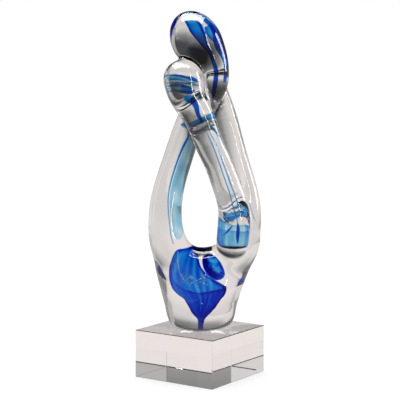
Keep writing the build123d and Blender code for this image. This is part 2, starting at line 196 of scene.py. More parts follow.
# %% World for each kind of ray
fill_strength = 1.05
room = node_out(tree, "ShaderNodeBackground", Color=walls)
fill = node_out(tree, "ShaderNodeBackground", Color=white, Strength=fill_strength)
backdrop = node_out(tree, "ShaderNodeBackground", Color=white)
rays = tree.nodes.new("ShaderNodeLightPath").outputs
lit = choose(tree, rays["Is Diffuse Ray"], room, fill)
add_node(tree, "ShaderNodeOutputWorld", Surface=choose(tree, rays["Is Camera Ray"], lit, backdrop))
print("world nodes", len(tree.nodes))

# %% [markdown]
# The table is a plain pale sheet. A white diffuse sheet alone would need more light than the
# glass may have, so part of its white is a glow of strength 1, and the diffuse part keeps
# the soft shadow of the block. Glass sees the table as a warmer glow with painted light: a
# painted pool of light close to the piece, and painted shade in front of it and far off on
# the left, the tones that the block shows.

# %% Stage sheets
square_corners = ((-1, -1), (1, -1), (1, 1), (-1, 1))


def flat_sheet(name, corners, material):
    """A four-cornered stage sheet."""
    mesh = bpy.data.meshes.new(name)
    mesh.from_pydata(corners, [], [tuple(range(len(corners)))])
    mesh.materials.append(material)
    sheet = placed(name, mesh)
    return sheet


def glowing_card(name, corners, material):
    """A stage sheet that only glass sees."""
    card = flat_sheet(name, corners, material)
    card.visible_camera = False
    card.visible_diffuse = False
    card.visible_shadow = False
    return card


def upright(start, end, height):
    """The corners of an upright sheet over a line on the table from start to end."""
    return [(*start, 0), (*end, 0), (*end, height), (*start, height)]


print("stage helpers ready")

# %% Table
table_half = 4.0
table_drop = 0.1 * mm
paper_share = 0.35
painted_light_near = (0.82, 0.765, 0.745)
painted_light_far = (0.68, 0.645, 0.625)
painted_shade_left = (0.36, 0.345, 0.335)
painted_shade_front = (0.20, 0.195, 0.19)
table_material, tree = new_material("pale_table")
axes = axes_of(tree)
# Painted light that glass sees: a pool of light near the piece that fades far off, and painted shade far off on the
# left and in front.
tone = blend_colours(tree, fade_between(tree, axes["Y"], 0.30, 0.60), painted_light_near, painted_light_far)
tone = blend_colours(tree, fade_between(tree, axes["X"], -0.40, -0.95), tone, painted_shade_left)
painted_shade_mask = calculated(tree, "MULTIPLY", fade_between(tree, axes["Y"], -0.06, -0.22),
                      fade_between(tree, axes["X"], -0.40, -0.20))
tone = blend_colours(tree, painted_shade_mask, tone, painted_shade_front)
paper = node_out(tree, "ShaderNodeBsdfDiffuse", Color=white)
seen = choose(tree, paper_share, glow_of(tree, white), paper)
rays = tree.nodes.new("ShaderNodeLightPath").outputs
met_glass = calculated(tree, "MAXIMUM", rays["Is Glossy Ray"], rays["Is Transmission Ray"])
# Rays that have met glass see the painted light and shade as a glow; other rays see the paper and its white glow.
add_node(tree, "ShaderNodeOutputMaterial", Surface=choose(tree, met_glass, seen, glow_of(tree, tone)))
flat_sheet("table", [(x * table_half, y * table_half, -table_drop) for x, y in square_corners], table_material)
print("table", 2 * table_half, "m square")

# %% [markdown]
# Behind the piece the paper of the table curves up into a sweep, and pale cards stand low on
# both sides. A glass rod shows them as the soft grey bands along its edges. The sweep is a glow
# with painted light and shade: painted light on the paper low down, painted shade that gets
# darker with its height, more painted shade at mid height on the left, and on the right a grey
# wall that goes on above it. Painted tones in a picture of a studio could do the same, but a
# few stops on ramps are easier to tune. The camera itself never sees these sheets.

# %% Painted light and shade on the sweep
sweep_back, sweep_half, sweep_height = 1.0, 2.2, 1.25
sweep_strength = 1.3
sweep_material, tree = new_material("sweep_behind")
axes = axes_of(tree)
height_share = node_out(tree, "ShaderNodeMapRange", Value=axes["Z"], From_Max=sweep_height)
# Each ramp paints light on the paper low down and painted shade that deepens with height.
middle_light_and_shade = colour_ramp(tree, height_share, (
    (0.000, (0.62, 0.59, 0.57)), (0.048, (0.56, 0.53, 0.51)), (0.088, (0.48, 0.46, 0.45)),
    (0.115, (0.38, 0.37, 0.36)), (0.145, (0.32, 0.31, 0.30)), (0.180, (0.22, 0.22, 0.21)),
    (0.205, (0.165, 0.16, 0.16)), (0.260, (0.14, 0.14, 0.14)), (0.330, (0.06, 0.06, 0.06)),
    (0.420, (0.005, 0.005, 0.005)), (1.000, (0.002, 0.002, 0.002))))
right_light_and_shade = colour_ramp(tree, height_share, (
    (0.000, (0.60, 0.57, 0.55)), (0.120, (0.55, 0.53, 0.51)), (0.190, (0.42, 0.40, 0.39)),
    (0.300, (0.36, 0.35, 0.34)), (0.700, (0.32, 0.31, 0.30)), (1.000, (0.24, 0.24, 0.23))))
beside_light_and_shade = colour_ramp(tree, height_share, (
    (0.000, (0.50, 0.48, 0.47)), (0.080, (0.38, 0.37, 0.36)), (0.125, (0.26, 0.25, 0.25)),
    (0.160, (0.19, 0.19, 0.18)), (0.210, (0.13, 0.13, 0.13)), (0.250, (0.10, 0.10, 0.10)),
    (0.295, (0.045, 0.045, 0.045)), (0.360, (0.025, 0.025, 0.025)), (1.000, ceiling)))
left_light_and_shade = colour_ramp(tree, height_share, (
    (0.000, (0.58, 0.55, 0.53)), (0.170, (0.54, 0.52, 0.50)), (0.215, (0.40, 0.39, 0.38)),
    (0.250, (0.14, 0.14, 0.14)), (0.320, (0.06, 0.06, 0.06)), (1.000, ceiling)))
sweep_painted_light = blend_colours(tree, fade_between(tree, axes["X"], 0.06, 0.30), middle_light_and_shade, beside_light_and_shade)
sweep_painted_light = blend_colours(tree, fade_between(tree, axes["X"], 0.85, 1.15), sweep_painted_light, right_light_and_shade)
sweep_painted_light = blend_colours(tree, fade_between(tree, axes["X"], -0.30, -0.80), sweep_painted_light, left_light_and_shade)
add_node(tree, "ShaderNodeOutputMaterial", Surface=glow_of(tree, sweep_painted_light, sweep_strength))
print("sweep nodes", len(tree.nodes))

# %% Sweep and side cards
glowing_card("sweep", upright((-sweep_half, sweep_back), (sweep_half, sweep_back), sweep_height), sweep_material)
card_height = 0.22
card_colour = (1.0, 0.97, 0.95, 1)
for name, x, y_low, y_high, brightness in (
        ("right_card", 0.6, -0.05, 0.7, 0.44), ("left_card", -0.6, -0.7, 0.1, 0.66)):
    card_material, tree = new_material(name)
    add_node(tree, "ShaderNodeOutputMaterial", Surface=glow_of(tree, card_colour, brightness))
    glowing_card(name, upright((x, y_low), (x, y_high), card_height), card_material)
print("sweep and two cards")

# %% [markdown]
# The light is that of a plain product studio: a large soft box overhead and a little to the
# back, two upright ones on the right and one on the left. Real soft boxes are far brighter
# than the things they light, and glass mirrors them as small white shapes. So each box is
# a lamp of plain strength, and a card in its place, seen by mirror rays, has the brightness
# that the polished glass shows. Rays bent through the glass see the overhead card weakly
# and the others not at all, because they would fill the rods with hard white stripes.

# %% Lamps
card_gap = 2 * mm


def soft_box(name, place, aim, width, height, brightness, mirrored, in_glass=0.0):
    """A rectangular lamp, as bright per area as asked, and the card that mirror rays see."""
    data = bpy.data.lights.new(name, "AREA")
    data.shape, data.size, data.size_y = "RECTANGLE", width, height
    data.energy = brightness * math.pi * width * height
    lamp = placed(name, data)
    lamp.location = place
    turn = (Vector(aim) - Vector(place)).to_track_quat("-Z", "Y")
    lamp.rotation_euler = turn.to_euler()
    lamp.visible_glossy = False
    lamp.visible_transmission = False
    material, tree = new_material(name + "_mirrored")
    rays = tree.nodes.new("ShaderNodeLightPath").outputs
    hidden = calculated(tree, "MULTIPLY", rays["Is Transmission Ray"], 1.0 - in_glass)
    shown = calculated(tree, "SUBTRACT", rays["Is Glossy Ray"], hidden, clamped=True)
    nothing = node_out(tree, "ShaderNodeBsdfTransparent")
    add_node(tree, "ShaderNodeOutputMaterial", Surface=choose(tree, shown, nothing, glow_of(tree, white, mirrored)))
    corners = [Vector(place) + turn @ Vector((x * width / 2, y * height / 2, card_gap)) for x, y in square_corners]
    glowing_card(name + "_card", [tuple(corner) for corner in corners], material)


soft_box("overhead_box", (-0.12, 0.20, 1.22), (-0.12, 0.16, 0.25), 1.35, 0.95, 1.3, 9.0, in_glass=0.2)
soft_box("right_front_strip", (0.80, -0.72, 0.38), (0, 0, 0.2), 0.07, 0.7, 4.0, 16.0)
soft_box("right_side_box", (1.0, 0.35, 0.42), (0, 0, 0.2), 0.30, 0.60, 3.0, 9.0)
soft_box("left_side_box", (-1.0, 0.0, 0.38), (0, 0, 0.2), 0.20, 0.55, 2.0, 1.6)

# %% [markdown]
# On the real piece the clear rods were pressed together while they were soft, so no seam can
# be seen: it is one skin. The solids are separate, with sharp valleys where they meet. The
# skin could be sculpted by hand, but a voxel remesh does what the furnace did. All clear
# solids and the blue ones inside them are joined, remeshed to one closed shell, grown and
# shrunk again so that the valleys fill up, and smoothed.

# %% Mesh helpers
clear_nodes = ("body", "left_limb", "rear_limb", "upper_head", "front_limb", "lower_head")
support_nodes = ("base_block", "adhesive_bond")
blue_nodes = tuple(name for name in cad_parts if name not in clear_nodes + support_nodes)


def joined(meshes, weld=None):
    """Several meshes as one smooth one, with points closer than weld merged."""
    work = bmesh.new()
    for mesh in meshes:
        work.from_mesh(mesh)
    if weld:
        bmesh.ops.remove_doubles(work, verts=work.verts, dist=weld)
    whole = bpy.data.meshes.new("joined")
    work.to_mesh(whole)
    work.free()
    for face in whole.polygons:
        face.use_smooth = True
    return whole


def solids(names):
    """One mesh of copies of CAD nodes, with their doubles merged."""
    return joined([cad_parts[name].data for name in names], weld=1e-6)


def evaluated(worker):
    """The mesh of an object after its modifiers; the object itself goes."""
    bpy.context.view_layer.update()
    mesh = bpy.data.meshes.new_from_object(worker.evaluated_get(bpy.context.evaluated_depsgraph_get()))
    bpy.data.objects.remove(worker)
    return mesh


def with_modifiers(mesh, *steps):
    """The mesh after a row of modifiers, each a kind and its settings."""
    worker = placed("worker", mesh)
    for kind, settings in steps:
        modifier = worker.modifiers.new(kind.lower(), kind)
        for key, value in settings.items():
            setattr(modifier, key, value)
    return evaluated(worker)


def remeshed(size):
    return ("REMESH", {"mode": "VOXEL", "voxel_size": size})


def grown(distance):
    return ("DISPLACE", {"strength": distance, "mid_level": 0.0, "direction": "NORMAL"})


def softened(times, factor=0.5):
    return ("SMOOTH", {"iterations": times, "factor": factor})


print("clear", len(clear_nodes), "blue", len(blue_nodes))


# %% Two more helpers: a level cut, and smoothing that doesn't shrink
def level_cut(work, height, **options):
    """Cut a bmesh at a height, and give what lies on the cut."""
    return bmesh.ops.bisect_plane(work, geom=work.verts[:] + work.edges[:] + work.faces[:],
                                  plane_co=(0, 0, height), plane_no=(0, 0, 1), **options)["geom_cut"]


def cut_above(mesh, height):
    """The closed part of a mesh below a height."""
    work = bmesh.new()
    work.from_mesh(mesh)
    level_cut(work, height, clear_outer=True)
    edges = [edge for edge in work.edges if edge.is_boundary]
    bmesh.ops.holes_fill(work, edges=edges, sides=0)
    work.to_mesh(mesh)
    work.free()
    return mesh


def evened(mesh, rounds, forward=0.5, back=-0.506):
    """Smooth a mesh without shrinking it: each round has a step forward and a step back."""
    count = len(mesh.vertices)
    places = np.empty(count * 3)
    mesh.vertices.foreach_get("co", places)
    places = places.reshape(-1, 3)
    edges = np.empty(len(mesh.edges) * 2, dtype=np.int64)
    mesh.edges.foreach_get("vertices", edges)
    edges = edges.reshape(-1, 2)
    start = np.concatenate([edges[:, 0], edges[:, 1]])
    end = np.concatenate([edges[:, 1], edges[:, 0]])
    valence = np.bincount(start, minlength=count)
    for step in (forward, back) * rounds:
        mean = np.stack([np.bincount(start, weights=places[end, axis], minlength=count)
                         for axis in range(3)], axis=1) / valence[:, None]
        places = places + step * (mean - places)
    mesh.vertices.foreach_set("co", places.ravel())
    mesh.update()
    return mesh


print("smoothing helpers ready")

# %% [markdown]
# The body gets a stronger closing than the rest, because it is one fat lump: where the
# solids have a shoulder between the tulip and the bend of the loop, the real glass runs
# through in one curve. The rods keep a small fillet where they cross.

# %% Body as one lump
body_fill = tuple(name for name in blue_nodes if name.startswith(("core", "left_limb", "rear_limb")))
lump_top, body_top = 0.165, 0.140
closing = 8.0 * mm
even_rounds = 500
lump = with_modifiers(solids(("body", "left_limb", "rear_limb") + body_fill), remeshed(1.2 * mm))
body_closed = with_modifiers(
    cut_above(lump, lump_top), remeshed(1.4 * mm), softened(6), grown(closing), remeshed(1.8 * mm), softened(8),
    grown(-closing), remeshed(1.5 * mm), softened(4))
body_closed = cut_above(evened(body_closed, even_rounds), body_top)
print("body faces", len(body_closed.polygons))

# %% Clear skin over the body and the rods
voxel = 1.0 * mm
fillet = 2.2 * mm
rods = solids([name for name in clear_nodes + blue_nodes if name != "body" and not name.startswith("core")])
skin_mesh = with_modifiers(
    joined((body_closed, rods)), remeshed(voxel), softened(4), grown(fillet), remeshed(voxel), softened(3),
    grown(-fillet), remeshed(voxel), softened(14))
for face in skin_mesh.polygons:
    face.use_smooth = True
skin = placed("clear_skin", skin_mesh)
print("skin faces", len(skin_mesh.polygons))

# %% [markdown]
# Fire-polished glass is smooth but never quite even: it keeps faint waves from the tools and
# the flame. The same waves belong on the skin, on the blue sheets and, much weaker, on the
# ground and polished block, so they are one node group with its own values in each material.
# It gives a height for a Bump node, and a roughness from its Haze value, which stays 0 in every material.


# %% Shared node group: waves and haze of worked glass
def worked_glass_group():
    """A group that turns Object coordinates into a wave height and a roughness."""
    group = bpy.data.node_groups.new("worked_glass", "ShaderNodeTree")
    for name, value in (("Wave Size", 14.0), ("Wave Share", 1.0), ("Haze", 0.0)):
        group.interface.new_socket(name, in_out="INPUT", socket_type="NodeSocketFloat").default_value = value
    for name in ("Height", "Roughness"):
        group.interface.new_socket(name, in_out="OUTPUT", socket_type="NodeSocketFloat")
    inside = group.nodes.new("NodeGroupInput").outputs
    wave_length = calculated(group, "MULTIPLY", inside["Wave Size"], mm)
    lengths = node_out(group, "ShaderNodeCombineXYZ", X=wave_length, Y=wave_length, Z=wave_length)
    place = group.nodes.new("ShaderNodeTexCoord").outputs["Object"]
    in_waves = node_out(group, "ShaderNodeVectorMath", operation="DIVIDE", in_0=place, in_1=lengths)
    waves = add_node(group, "ShaderNodeTexNoise", Vector=in_waves, Scale=1.0, Detail=1.5,
                     Roughness=0.45, Distortion=0.4).outputs["Fac"]
    patches = fade_between(group, waves, 0.55, 0.75)
    add_node(group, "NodeGroupOutput", Height=calculated(group, "MULTIPLY", waves, inside["Wave Share"]),
             Roughness=calculated(group, "MULTIPLY", patches, inside["Haze"]))
    return group


worked_glass = worked_glass_group()
print("group sockets", [item.name for item in worked_glass.interface.items_tree])

# %% [markdown]
# All the glass uses the Principled shader with full transmission. The clear glass has the
# index of ordinary soda glass. The blue glass lies inside clear glass of nearly its own
# index, so rays hardly bend as they enter it, and its index here is the ratio of the two.
# Its colour comes from depth, not from its surface: absorption takes the red first, then
# the green, and leaves the blue, so thin sheets are sky blue and thick ones are cobalt.


# %% Glass materials
def glass(name, index, wave_size, wave_depth):
    """Clear glass with the shared waves, as long and as deep as given in mm."""
    material, tree = new_material(name)
    effect = add_node(tree, "ShaderNodeGroup", node_tree=worked_glass, Wave_Size=wave_size)
    bump = add_node(tree, "ShaderNodeBump", Strength=1.0, Distance=wave_depth * mm, Height=effect.outputs["Height"])
    shader = add_node(tree, "ShaderNodeBsdfPrincipled", Base_Color=white, IOR=index, Transmission_Weight=1.0,
                      Normal=bump.outputs[0], Roughness=effect.outputs["Roughness"])
    add_node(tree, "ShaderNodeOutputMaterial", Surface=shader.outputs[0])
    return material


clear_index = 1.5
clear_glass = glass("clear_glass", clear_index, 16.0, 0.10)
block_glass = glass("block_glass", clear_index, 30.0, 0.002)
glue_film = glass("glue_film", clear_index, 6.0, 0.01)
air_in_glass = glass("air_in_glass", 1 / clear_index, 2.0, 0.01)
blue_glass = glass("blue_glass", 1.03, 5.0, 0.05)
tree = blue_glass.node_tree
absorption = add_node(tree, "ShaderNodeVolumeAbsorption", Density=4900.0, Color=(0.020, 0.690, 0.943, 1))
tree.links.new(absorption.outputs[0], tree.nodes["Material Output"].inputs["Volume"])
print("glass materials", [m.name for m in bpy.data.materials if "glass" in m.name])


# %% Dress the skin, the block and the glue
def dress_node(name, material):
    """Give a CAD node that keeps its mesh its material."""
    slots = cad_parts[name].data.materials
    slots.clear()
    slots.append(material)


skin.data.materials.append(clear_glass)
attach(skin, body_root)
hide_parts(*clear_nodes)
dress_node("base_block", block_glass)
dress_node("adhesive_bond", glue_film)
for name in blue_nodes:
    dress_node(name, blue_glass)
print("dressed", len(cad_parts), "nodes")

# %% [markdown]
# The blue glass is drawn out of coloured powder and rods that were picked up on the hot
# gather and then covered with clear. It takes three forms here: fine lines, thin sheets and
# small open vessels. Lines follow a path, so they come from one Geometry Nodes tree that
# turns a row of points with a thickness at each into a round tube. The paths are read from
# the solids by level cuts, so that a line stays where its solid is.


# %% Paths from the solids
def sliced_rows(name, count, inset=0.4):
    """Centre and half width, in mm, of a solid at level cuts from its top to its bottom."""
    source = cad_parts[name].data
    heights = [vertex.co.z for vertex in source.vertices]
    rows = []
    for height in np.linspace(max(heights) - inset * mm, min(heights) + inset * mm, count):
        work = bmesh.new()
        work.from_mesh(source)
        points = np.array([tuple(item.co) for item in level_cut(work, height)
                           if isinstance(item, bmesh.types.BMVert)]) / mm
        work.free()
        low, high = points.min(axis=0), points.max(axis=0)
        rows.append((*((low + high) / 2), (high[0] - low[0]) / 2))
    return np.array(rows)


def smooth_rows(rows, count):
    """A smooth run of rows through the given ones."""
    rows = np.array(rows, dtype=float)
    last = len(rows) - 1
    places = np.linspace(0, last, count)
    index = np.minimum(places.astype(int), last - 1)
    step = (places - index)[:, None]
    before, start = rows[np.maximum(index - 1, 0)], rows[index]
    end, after = rows[index + 1], rows[np.minimum(index + 2, last)]
    return 0.5 * (2 * start + (end - before) * step + (2 * before - 5 * start + 4 * end - after) * step**2
                  + (3 * start - before - 3 * end + after) * step**3)


streak_rows = sliced_rows("front_limb_streak", 9)
left_line_rows = sliced_rows("left_limb_line", 16)
left_veil_rows = sliced_rows("left_limb_veil", 14)
thread_rows = {name: sliced_rows(name, 14) for name in ("front_limb_left_thread", "front_limb_right_thread")}
rear_thread_rows = sliced_rows("rear_limb_thread", 5)
print("left line from", left_line_rows[0].round(1), "to", left_line_rows[-1].round(1))


# %% Starts and ends of the Geometry Nodes trees
def tree_with_inputs(name, inputs, takes_geometry=False):
    """A tree with its named inputs, a material and one geometry output."""
    tree = bpy.data.node_groups.new(name, "GeometryNodeTree")
    if takes_geometry:
        tree.interface.new_socket("Geometry", in_out="INPUT", socket_type="NodeSocketGeometry")
    for label, kind, value in inputs:
        tree.interface.new_socket(label, in_out="INPUT", socket_type="NodeSocket" + kind).default_value = value
    tree.interface.new_socket("Material", in_out="INPUT", socket_type="NodeSocketMaterial")
    tree.interface.new_socket("Geometry", in_out="OUTPUT", socket_type="NodeSocketGeometry")
    return tree, tree.nodes.new("NodeGroupInput").outputs


def ended_tree(tree, geometry, material):
    """The tree, closed with Realize Instances and Set Material."""
    real = node_out(tree, "GeometryNodeRealizeInstances", Geometry=geometry)
    dressed = node_out(tree, "GeometryNodeSetMaterial", Geometry=real, Material=material)
    add_node(tree, "NodeGroupOutput", Geometry=dressed)
    return tree


print("tree helpers ready")


# %% Geometry Nodes tree: drawn cane
def drawn_cane_tree():
    """A tree that turns rows of points with a thickness into round, capped canes."""
    tree, inside = tree_with_inputs("drawn_cane", (
        ("Sides", "Int", 12), ("Points", "Int", 90), ("Thickness Share", "Float", 1.0)), takes_geometry=True)
    curve = node_out(tree, "GeometryNodeMeshToCurve", Mesh=inside["Geometry"])
    thickness = node_out(tree, "GeometryNodeInputNamedAttribute", data_type="FLOAT", Name="thickness")
    radius = calculated(tree, "MULTIPLY", thickness, inside["Thickness Share"])
    curve = node_out(tree, "GeometryNodeSetCurveRadius", Curve=curve, Radius=radius)
    curve = node_out(tree, "GeometryNodeResampleCurve", Curve=curve, Count=inside["Points"])
    ring = node_out(tree, "GeometryNodeCurvePrimitiveCircle", Radius=1.0, Resolution=inside["Sides"])
    tube = node_out(tree, "GeometryNodeCurveToMesh", Curve=curve, Profile_Curve=ring, Scale=radius,
                    Fill_Caps=True)
    smooth = node_out(tree, "GeometryNodeSetShadeSmooth", in_0=tube)
    return ended_tree(tree, smooth, inside["Material"])


drawn_cane = drawn_cane_tree()
print("drawn cane sockets", len(drawn_cane.interface.items_tree))


# %% From a tree to a plain mesh, and from a mesh to a piece
def welded(mesh):
    """The mesh with its doubles merged and its faces turned outward."""
    work = bmesh.new()
    work.from_mesh(mesh)
    bmesh.ops.remove_doubles(work, verts=work.verts, dist=2e-6)
    bmesh.ops.dissolve_degenerate(work, edges=work.edges, dist=1e-7)
    bmesh.ops.recalc_face_normals(work, faces=work.faces)
    for face in work.faces:
        face.smooth = True
    work.to_mesh(mesh)
    work.free()
    return mesh


def made_by(tree, mesh, **inputs):
    """The plain mesh that a Geometry Nodes tree makes, with its inputs set by identifier."""
    worker = placed("worker", mesh)
    modifier = worker.modifiers.new(tree.name, "NODES")
    modifier.node_group = tree
    for item in tree.interface.items_tree:
        key = item.name.replace(" ", "_").lower()
        if item.in_out == "INPUT" and key in inputs:
            modifier[item.identifier] = inputs[key]
    return welded(evaluated(worker))


def glass_piece(name, mesh, *nodes, material=blue_glass, slot="blue_glass"):
    """Make a mesh a piece of the model, in place of the nodes it stands for."""
    mesh.name = name
    mesh.materials.clear()
    mesh.materials.append(material)
    piece = placed(name, mesh)
    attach(piece, body_root)
    if nodes:
        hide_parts(*nodes)


print("piece helpers ready")

# %% Canes along paths
path_points = 60
thinnest_tip = 0.12


def cane_mesh(paths, material=blue_glass, sides=12, points=90):
    """Canes along rows of x, y, z and radius in mm, by the drawn cane tree."""
    verts, edges, radii = [], [], []
    for rows in paths:
        rows = smooth_rows(rows, path_points)
        start = len(verts)
        verts += [tuple(row[:3] * mm) for row in rows]
        radii += [row[3] * mm for row in rows]
        edges += [(start + index, start + index + 1) for index in range(len(rows) - 1)]
    mesh = bpy.data.meshes.new("paths")
    mesh.from_pydata(verts, edges, [])
    mesh.attributes.new("thickness", "FLOAT", "POINT").data.foreach_set("value", radii)
    return made_by(drawn_cane, mesh, sides=sides, points=points, thickness_share=1.0, material=material)


def tapered(rows, radius, run=0.12):
    """Rows of a path with a radius that runs out at both ends."""
    share = np.linspace(0, 1, len(rows))
    ends = np.clip(np.minimum(share, 1 - share) / run, thinnest_tip, 1)
    return np.column_stack([rows[:, :3], radius * ends])


print("cane helpers ready")

# %% [markdown]
# The two fine lines in the front rod are threads, pulled thin where the rod was stretched.
# A third, paler one runs beside the white highlight. The dark line in the left limb is the
# edge of a folded sheet, thicker at the top, and the rear limb has a short thread.

# %% Lines and threads
third_thread = np.array([(2.9, -14.0, 220.0), (6.8, -13.5, 214.6), (10.9, -12.8, 207.5), (15.5, -12.2, 197.7)])
thread_paths = [tapered(rows, 0.36) for rows in thread_rows.values()] + [tapered(third_thread, 0.42)]
glass_piece("front_threads", cane_mesh(thread_paths), *thread_rows)
line_radii = np.interp(np.linspace(0, 1, len(left_line_rows)), (0, 0.1, 0.3, 0.6, 1.0), (0.4, 0.8, 0.55, 0.36, 0.25))
glass_piece("left_line", cane_mesh([np.column_stack([left_line_rows[:, :3], line_radii])]), "left_limb_line")
glass_piece("rear_thread", cane_mesh([tapered(rear_thread_rows, 0.4)]), "rear_limb_thread")
print("canes", len(thread_paths) + 2)

# %% [markdown]
# A sheet of blue glass is never even. Its edges draw together into thick royal-blue lines,
# the middle stays thin and sky blue, and folds make darker bands. So a sheet is a surface
# between two edge paths, with its own thickness at every point. A sum of a few slow waves
# with fixed phases gives the folds: it is smooth, and the same at every run.


# %% Folds and closed shells
def folds(first, second, seed, waves=6):
    """A smooth uneven pattern from -1 to 1 over two coordinates."""
    chance = np.random.RandomState(seed)
    total = 0
    for _ in range(waves):
        turn = chance.uniform(0, 2 * math.pi)
        pace = chance.uniform(0.5, 1.6)
        total = total + np.sin(pace * (first * math.cos(turn) + second * math.sin(turn)) + chance.uniform(0, 6.3))
    return total / math.sqrt(waves * 2)


def closed_loft(grid):
    """A closed mesh through a pile of rings in mm, with a pole at each end."""
    rings, around, _ = grid.shape
    points = np.concatenate([grid.reshape(-1, 3), grid[:1].mean(axis=1), grid[-1:].mean(axis=1)]) * mm
    beside = [(index + 1) % around for index in range(around)]
    faces = [(ring * around + index, ring * around + beside[index],
              (ring + 1) * around + beside[index], (ring + 1) * around + index)
             for ring in range(rings - 1) for index in range(around)]
    first_pole, last_pole, last_ring = rings * around, rings * around + 1, (rings - 1) * around
    faces += [(first_pole, beside[index], index) for index in range(around)]
    faces += [(last_pole, last_ring + index, last_ring + beside[index]) for index in range(around)]
    mesh = bpy.data.meshes.new("loft")
    mesh.from_pydata(points.tolist(), [], faces)
    return welded(mesh)


print("loft ready")

# %% Sheet between two edges
edge_power = 10
end_run, thinnest_end = 0.06, 0.02


def sheet_mesh(middle, thickness):
    """A closed sheet round a grid of middle points, as thick as asked at each."""
    along = np.gradient(middle, axis=0)
    across = np.gradient(middle, axis=1)
    normal = np.cross(along, across)
    normal /= np.maximum(np.linalg.norm(normal, axis=2, keepdims=True), 1e-9)
    share = np.linspace(-1, 1, middle.shape[1])
    rounded = np.sqrt(np.clip(1 - np.abs(share) ** edge_power, 0, 1))
    ends = np.linspace(0, 1, middle.shape[0])
    run_out = np.sqrt(np.clip(np.minimum(ends, 1 - ends) / end_run, thinnest_end, 1))
    offset = normal * (thickness * rounded[None, :] * run_out[:, None] / 2)[:, :, None]
    front, back = middle + offset, middle - offset
    return closed_loft(np.concatenate([front, back[:, -2:0:-1]], axis=1))


def edges_of(rows):
    """Left and right edges of a band from rows of centre and half width, facing front."""
    rows = np.array(rows, dtype=float)
    along = np.gradient(rows[:, :3], axis=0)
    across = np.cross(along, (0.0, 1.0, 0.0))
    across /= np.linalg.norm(across, axis=1, keepdims=True)
    reach = across * rows[:, 3:4]
    return rows[:, :3] - reach, rows[:, :3] + reach


print("sheet ready")

# %% Band with thin middle and thick edges
thickness_pace, depth_pace = (0.25, 0.9), (0.3, 0.6)
edge_draw = 2.6
thinnest_sheet = 0.08


def band_mesh(left, right, thin, thick, seed, length=110, width=25, depth=0.4, fold=0.35):
    """A sheet between two edge paths: thin in the middle, thick at its edges, with folds."""
    left, right = smooth_rows(left, length), smooth_rows(right, length)
    share = np.linspace(0, 1, width)
    middle = left[:, None, :] * (1 - share)[None, :, None] + right[:, None, :] * share[None, :, None]
    gap = np.linalg.norm(right - left, axis=1)[:, None]
    run = np.cumsum(np.linalg.norm(np.gradient((left + right) / 2, axis=0), axis=1))[:, None]
    zeros, across = 0 * share[None, :], gap * share[None, :]
    pattern = folds(run * thickness_pace[0] + zeros, across * thickness_pace[1], seed)
    middle[:, :, 1] += depth * folds(run * depth_pace[0] + zeros, across * depth_pace[1], seed + 1)
    edge = np.abs(2 * share - 1)[None, :] ** edge_draw
    thin = np.interp(np.linspace(0, 1, length), np.linspace(0, 1, np.size(thin)), np.atleast_1d(thin))[:, None]
    thickness = (thin + (thick - thin) * edge) * (1 + fold * pattern * (1 - edge))
    return sheet_mesh(middle, np.maximum(thickness, thinnest_sheet))


print("band ready")

# %% [markdown]
# The large head holds a fan that narrows to one strong line down the neck, a strip that
# goes over the top and down the right side, and a short veil between the two. A band is
# quick to write as rows of centre and half width, and that does for the strip and the veil.
# The eye finds the fan first, so both its edges are given point by point, under two canes.

# %% Sheets in the large head
fan_left = ((-11.3, 2, 299.4), (-9.4, 0.8, 296), (-7.3, 0.2, 292), (-4.5, 0, 288.4), (-1.7, 0.1, 285),
            (1.1, 0.5, 281.6), (4, 0.8, 278), (6.2, 0.9, 274.8), (8, 1.3, 270.2), (9.8, 3, 265.1),
            (10.5, 4, 260.1), (10.3, 5, 254.4), (9.6, 5, 248.7), (8.5, 6, 243.4), (7.4, 6, 238.4))
fan_right = ((-3.3, 2.2, 299.2), (-1.1, 1.8, 296.4), (0.8, 1.1, 292.6), (2.4, 0.9, 289), (4.3, 1, 285.1),
             (6, 1.2, 281), (7.4, 1.1, 277.6), (8.6, 1.1, 274.4), (10.4, 1.4, 270.2), (12.3, 3, 265),
             (13.1, 4, 260.1), (12.9, 5, 254.4), (12.2, 5.2, 248.7), (10.9, 6.2, 243.4), (8.8, 6.2, 238))
fan_thin, fan_thick = (0.8, 0.8, 0.9, 1.4, 1.9, 1.9, 1.9, 1.8), 2.1
fan_mesh = band_mesh(fan_left, fan_right, fan_thin, fan_thick, seed=3, length=150)
fan_lines = cane_mesh([np.column_stack([np.array(edge[:9]) + (inward, -1.9, 0.0), np.linspace(start, 0.8, 9)])
                       for edge, inward, start in ((fan_left, 0.9, 0.35), (fan_right, -0.9, 0.5))])
glass_piece("head_fan", joined((fan_mesh, fan_lines)), "upper_head_fan")
strip_rows = ((-10.6, 5.9, 302.4, 0.7), (-7.3, 5.9, 302.4, 0.9), (-4.5, 5.3, 301.6, 0.9), (-1.5, 5, 300, 0.9),
              (1.4, 5, 297.4, 1.3), (4.2, 5.2, 294.4, 1.6), (6.8, 5.6, 290.8, 2.4), (9, 5.6, 286.4, 3.4),
              (11.4, 5.2, 281.4, 3.5), (13.9, 5, 275.8, 2.6), (16, 5, 270, 1.8), (17.2, 4.8, 264.2, 1.5),
              (17.3, 4.6, 258, 1.3), (16.8, 4.6, 252, 0.9))
strip_thin, strip_thick = (0.5, 1.0, 1.5, 1.5, 1.4), 1.7
strip_mesh = band_mesh(*edges_of(strip_rows), strip_thin, strip_thick, seed=8, length=150, width=17)
glass_piece("head_strip", strip_mesh, "upper_head_strip")
veil_rows = ((2.6, 2.2, 295.2, 2.4), (4.7, 2.2, 291.6, 3.3), (6.5, 2.2, 288.1, 2.4), (8.4, 2.5, 284, 0.5))
veil_mesh = band_mesh(*edges_of(veil_rows), 1.0, 1.5, seed=5, length=50)
glass_piece("head_veil", veil_mesh, "upper_head_veil")
print("fan faces", len(fan_mesh.polygons))

# %% [markdown]
# In the small head the blue lies in a crumpled heap: a striped band over it, a second one
# below, a rim on the left and a few blobs. It was a thin skin of colour that folded up when
# the ball was pressed against the neck. Strong folds in depth and thickness do the same.

